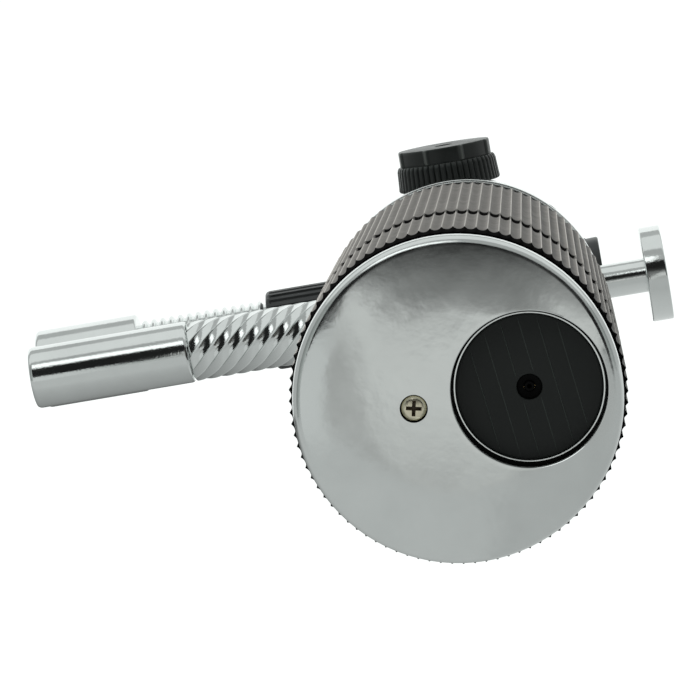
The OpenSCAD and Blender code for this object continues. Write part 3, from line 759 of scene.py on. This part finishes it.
def make_upper_burner():
    """The black ribbed barrel with its end cap, the finned neck and the plain bright nozzle."""
    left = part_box("upper_barrel")[0].x / MM
    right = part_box("upper_barrel")[1].x / MM
    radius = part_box("upper_barrel")[1].y / MM
    crest = radius - 0.02

    def barrel_groove(t):
        """Square-shouldered ribs."""
        return min(1.0, max(0.0, (abs(2 * t - 1) - 0.42) * 4.5))

    levels = [(6, left, 0), (crest - 1.0, left, 0), (crest - 0.45, left + 0.1, 0)]
    levels += [(crest - 0.12, left + 0.45, 0), (crest, left + 0.95, 0.05), (crest, left + 1.3, 0.4)]
    levels += [(crest, h, 0.45) for h in spread(left + 2, right - 1.5, 12)]
    levels += [(crest, right - 0.9, 0.4), (crest, right - 0.5, 0), (crest - 0.1, right, 0), (6, right, 0)]
    barrel = ribbed_stack("barrel_ribbed", levels, 28, barrel_groove, "+x", BARREL, per_rib=16)
    place(barrel, "root", BARREL_BLACK, "barrel_plastic", "upper_barrel")
    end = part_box("barrel_cap")[1].x / MM
    plug = lathe("barrel_end_plug", rounded([
        (0, right - 6, 0), (6, right - 6, 0.2), (6, right, 0), (radius - 0.3, right, 0.1),
        (radius - 0.2, end, 0.5), (3.4, end, 0.25), (3.2, end - 0.35, 0.2), (0, end - 0.35, 0)]),
        "+x", BARREL, 128)
    place(plug, "root", BARREL_BLACK, "barrel_plastic", "barrel_cap")
    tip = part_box("upper_nozzle")[0].x / MM
    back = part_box("upper_nozzle")[1].x / MM
    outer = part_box("upper_nozzle")[1].y / MM
    nozzle = lathe("upper_nozzle_skin", rounded([
        (5.5, back, 0.1), (outer - 0.4, back, 0.3), (outer, back - 0.4, 0.3), (outer, tip + 0.5, 0.4),
        (outer - 0.4, tip, 0.25), (7.4, tip, 0.3), (7.4, tip + 12, 0.4), (3.4, tip + 12.6, 0.2),
        (3.4, back - 5, 0.1), (5.5, back - 5, 0.1)]), "+x", BARREL, 192)
    place(nozzle, "root", CHROME, "chrome_plate", "upper_nozzle")
    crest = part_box("finned_neck")[1].y / MM
    pitch = 2.06
    root = crest - 0.9
    outline = [(6, left + 7, 0.1), (6, left, 0), (root, left, 0)]
    length = left - back
    fins = int((length - 1) / pitch)
    for i in range(fins):
        at = left - 0.4 - i * pitch
        outline += [(root, at - 0.5, 0.25), (crest, at - 0.95, 0.4)]
        outline += [(crest, at - 1.62, 0.4), (root, at - 2.05, 0.25)]
    outline += [(root, back, 0), (5.5, back, 0), (5.5, back - 5, 0.1), (3.4, back - 5, 0.1)]
    outline += [(3.4, left + 5, 0), (3.9, left + 5, 0), (3.9, left + 7, 0)]
    neck = lathe("finned_neck_skin", rounded(outline, 3), "+x", BARREL, 128)
    place(neck, "root", CHROME, "chrome_plate", "finned_neck")


# ---------------------------------------------------------------- igniter rod

ROD_R = 3.8


def make_igniter():
    """The polished rod, its round button with soft edges, and the bushing that guides it."""
    low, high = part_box("push_button")
    radius = high.y / MM
    inner = low.x / MM
    outer = high.x / MM
    button = lathe("button_disc", rounded([
        (0, inner, 0), (radius, inner, 0.4), (radius, outer, 0.4), (radius - 2.4, outer, 0.3),
        (radius - 2.7, outer - 0.25, 0.2), (0, outer - 0.12, 0)], 6), "+x", BURNER, 192)
    place(button, "igniter_rod", CHROME, "chrome_plate", "push_button")
    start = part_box("push_rod")[0].x / MM
    rod = lathe("rod_polished", rounded([
        (0, start, 0), (1.8, start, 0.3), (1.8, 18.2, 0.1), (4.6, 18.2, 0.2), (4.6, 19.4, 0.2),
        (ROD_R, 19.4, 0.1), (ROD_R, inner + 0.5, 0), (0, inner + 0.5, 0)]), "+x", BURNER, 128)
    place(rod, "igniter_rod", CHROME, "chrome_plate", "push_rod")
    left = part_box("rod_bushing")[0].x / MM
    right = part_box("rod_bushing")[1].x / MM
    bore = ROD_R + 0.06
    bushing = lathe("bushing_turned", rounded([
        (bore, left, 0.1), (5.6, left, 0.1), (5.6, 21.9, 0), (6.8, 21.9, 0.25), (6.8, 23.9, 0.4),
        (5.6, 23.9, 0.3), (5.6, right - 1.2, 0.2), (5.2, right - 1.0, 0.2), (5.2, right, 0.4),
        (bore, right, 0.3)]), "+x", BURNER, 128)
    place(bushing, "root", CHROME, "chrome_plate", "rod_bushing")


def shorten(node):
    """Gives a spring's CAD node its own copy of its mesh."""
    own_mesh(NODES[node])


def make_springs():
    """Gives the rod's spring and the refill stem's spring their own copies of their meshes."""
    shorten("return_spring")
    shorten("valve_spring")


# ---------------------------------------------------------------- stage, light and camera

def glow_plane(name, centre, across, up, width, height, glow, fade=None):
    """A glowing card that the camera doesn't see; fade is its glow high above the torch."""
    mesh = bpy.data.meshes.new(name)
    right = across.normalized() * width / 2
    rise = up.normalized() * height / 2
    spots = [centre - right - rise, centre + right - rise, centre + right + rise, centre - right + rise]
    mesh.from_pydata(spots, [], [(0, 1, 2, 3)])
    obj = bpy.data.objects.new(name, mesh)
    bpy.context.scene.collection.objects.link(obj)
    material, tree, bsdf = shader(name, (0, 0, 0), roughness=1)
    bsdf.inputs["Specular IOR Level"].default_value = 0
    bsdf.inputs["Emission Color"].default_value = (0.97, 1, 0.99, 1)
    bsdf.inputs["Emission Strength"].default_value = glow
    if fade is not None:
        coords = tree.nodes.new("ShaderNodeTexCoord")
        split = tree.nodes.new("ShaderNodeSeparateXYZ")
        tree.links.new(coords.outputs["Object"], split.inputs["Vector"])
        strength = span(tree, split.outputs["Z"], glow, fade, (0, 0.42))
        tree.links.new(strength, bsdf.inputs["Emission Strength"])
    mesh.materials.append(material)
    obj.visible_camera = False
    obj.visible_shadow = False
    return obj


VIEW_AHEAD = Vector((-0.063, 0.1038, 0.9926)).normalized()
VIEW_RIGHT = VIEW_AHEAD.cross(Vector((0.1656, -0.9797, 0.1129))).normalized()
VIEW_UP = VIEW_RIGHT.cross(VIEW_AHEAD)
VIEW_FROM = Vector((0.02612, -0.08427, -0.68712))


def make_camera():
    """Looks up at the base from below, through a long lens, rolled a little."""
    data = bpy.data.cameras.new("camera")
    data.sensor_width = 36
    data.lens = 198
    data.clip_start = 0.05
    data.clip_end = 40
    camera = bpy.data.objects.new("camera", data)
    bpy.context.scene.collection.objects.link(camera)
    turn = Matrix((VIEW_RIGHT, VIEW_UP, -VIEW_AHEAD)).transposed().to_4x4()
    camera.matrix_world = Matrix.Translation(VIEW_FROM) @ turn
    bpy.context.scene.camera = camera
    return camera


def card(name, side, rise, wide, tall, glow, far=0.9):
    """A card round the torch: its middle is side degrees right of the camera and rise degrees above it."""
    a, b = math.radians(side), math.radians(rise)
    way = VIEW_UP * math.sin(b) + (VIEW_RIGHT * math.sin(a) - VIEW_AHEAD * math.cos(a)) * math.cos(b)
    across = VIEW_RIGHT * math.cos(a) + VIEW_AHEAD * math.sin(a)
    centre = Vector((0, 0, 0.12)) + way * far
    width = 2 * far * math.tan(math.radians(wide / 2))
    height = 2 * far * math.tan(math.radians(tall / 2))
    return glow_plane(name, centre, across, way.cross(across), width, height, glow)


def make_base_card():
    """A small card under the base that grades its reflection from bright in the middle to dark at the top."""
    # Height on the card in millimetres, and its glow there
    steps = ((-75, 0.45), (-58, 0.66), (-38, 0.72), (-27, 0.5), (-17, 0.33), (0, 0.25),
             (18, 0.22), (34, 0.15), (52, 0.12), (64, 0.04), (95, 0.03))
    first, last = steps[0][0], steps[-1][0]
    mesh = bpy.data.meshes.new("base_card")
    low, high = first * MM, last * MM
    mesh.from_pydata([(-0.1, low, 0), (0.1, low, 0), (0.1, high, 0), (-0.1, high, 0)], [], [(0, 1, 2, 3)])
    obj = bpy.data.objects.new("base_card", mesh)
    bpy.context.scene.collection.objects.link(obj)
    turn = Matrix((VIEW_RIGHT, VIEW_UP, -VIEW_AHEAD)).transposed().to_4x4()
    obj.matrix_world = Matrix.Translation(-VIEW_AHEAD * 0.2) @ turn
    material, tree, bsdf = shader("base_card", (0, 0, 0), roughness=1)
    bsdf.inputs["Specular IOR Level"].default_value = 0
    coords = tree.nodes.new("ShaderNodeTexCoord")
    split = tree.nodes.new("ShaderNodeSeparateXYZ")
    tree.links.new(coords.outputs["Object"], split.inputs["Vector"])

    def joined(operation, first_value, second_value):
        """The result of a sum or product of two values."""
        node = tree.nodes.new("ShaderNodeMath")
        node.operation = operation
        tree.links.new(first_value, node.inputs[0])
        tree.links.new(second_value, node.inputs[1])
        return node.outputs["Value"]

    cloud = speckle(tree, coords.outputs["Object"], 45, 5, 0.7)
    left = span(tree, split.outputs["X"], -62 * MM, 0, (-85 * MM, -25 * MM))
    right = span(tree, split.outputs["X"], 0, -45 * MM, (18 * MM, 55 * MM))
    below = span(tree, split.outputs["Y"], 1, 0, (32 * MM, 58 * MM))
    shift = joined("MULTIPLY", joined("ADD", left, right), below)
    waver = span(tree, cloud, -14 * MM, 14 * MM)
    place_on_ramp = joined("ADD", joined("ADD", split.outputs["Y"], shift), waver)
    ramp = tree.nodes.new("ShaderNodeValToRGB")
    tree.links.new(span(tree, place_on_ramp, 0, 1, (low, high)), ramp.inputs["Fac"])
    points = ramp.color_ramp.elements
    for number, (at, glow) in enumerate(steps):
        spot = (at - first) / (last - first)
        point = points[number] if number < 2 else points.new(spot)
        point.position = spot
        point.color = (glow, glow * 1.02, glow, 1)
    tree.links.new(ramp.outputs["Color"], bsdf.inputs["Emission Color"])
    bsdf.inputs["Emission Strength"].default_value = 1
    mesh.materials.append(material)
    obj.visible_camera = False
    obj.visible_diffuse = False
    obj.visible_shadow = False


def make_stage():
    """A pale floor below the camera, a white backdrop above the torch, and a plain studio round it."""
    mesh = bpy.data.meshes.new("floor")
    size = 6
    corners = [(-size, -size, 0), (size, -size, 0), (size, size, 0), (-size, size, 0)]
    mesh.from_pydata(corners, [], [(0, 1, 2, 3)])
    floor = bpy.data.objects.new("floor", mesh)
    floor.location = (0, 0, -1.1)
    bpy.context.scene.collection.objects.link(floor)
    material = shader("floor", (0.48, 0.50, 0.49), roughness=0.8)[0]
    mesh.materials.append(material)
    along, back, rise = Vector((1, 0, 0)), Vector((0, 1, 0)), Vector((0, 0, 1))
    backdrop = glow_plane("backdrop", rise * 1.5, along, back, 3, 3, 1.1)
    backdrop.visible_camera = True

    world = bpy.data.worlds.new("surround")
    world.use_nodes = True
    world.node_tree.nodes["Background"].inputs["Color"].default_value = (0.97, 1, 0.99, 1)
    world.node_tree.nodes["Background"].inputs["Strength"].default_value = 0.5
    bpy.context.scene.world = world

    glow_plane("bench_left", Vector((-0.75, 0.12, 0)), along, rise, 1.5, 2.2, 0.56, 0.15)
    glow_plane("bench_right", Vector((0.75, 0.12, 0)), along, rise, 1.5, 2.2, 0.5, 0.75)
    card("sky", 0, 84, 120, 44, 0.82, 0.95)
    card("low_sky", 0, 47, 100, 31, 0.44)
    card("strip", -24, 38, 30, 13, 1.4, 0.8)
    card("left", -28, -12, 24, 20, 0.66, 0.8)
    card("dark", 0, 12.5, 80, 39, 0.015)
    make_base_card()
    bpy.context.scene.view_settings.view_transform = "Standard"

    data = bpy.data.lights.new("key", "AREA")
    data.shape = "RECTANGLE"
    data.size = 0.5
    data.size_y = 0.5
    data.energy = 20
    key = bpy.data.objects.new("key", data)
    key.location = (-0.25, -1.1, 0.35)
    key.rotation_euler = (Vector((0, 0, 0.1)) - key.location).to_track_quat("-Z", "Y").to_euler()
    key.visible_glossy = False
    bpy.context.scene.collection.objects.link(key)


# ---------------------------------------------------------------- build

dress_cad_nodes()
make_camera()
make_stage()
make_base()
make_base_screw()
make_filler()
make_plug_lines()
make_grip()
make_collar()
make_head()
make_knob()
make_main_burner()
make_upper_burner()
make_igniter()
make_springs()
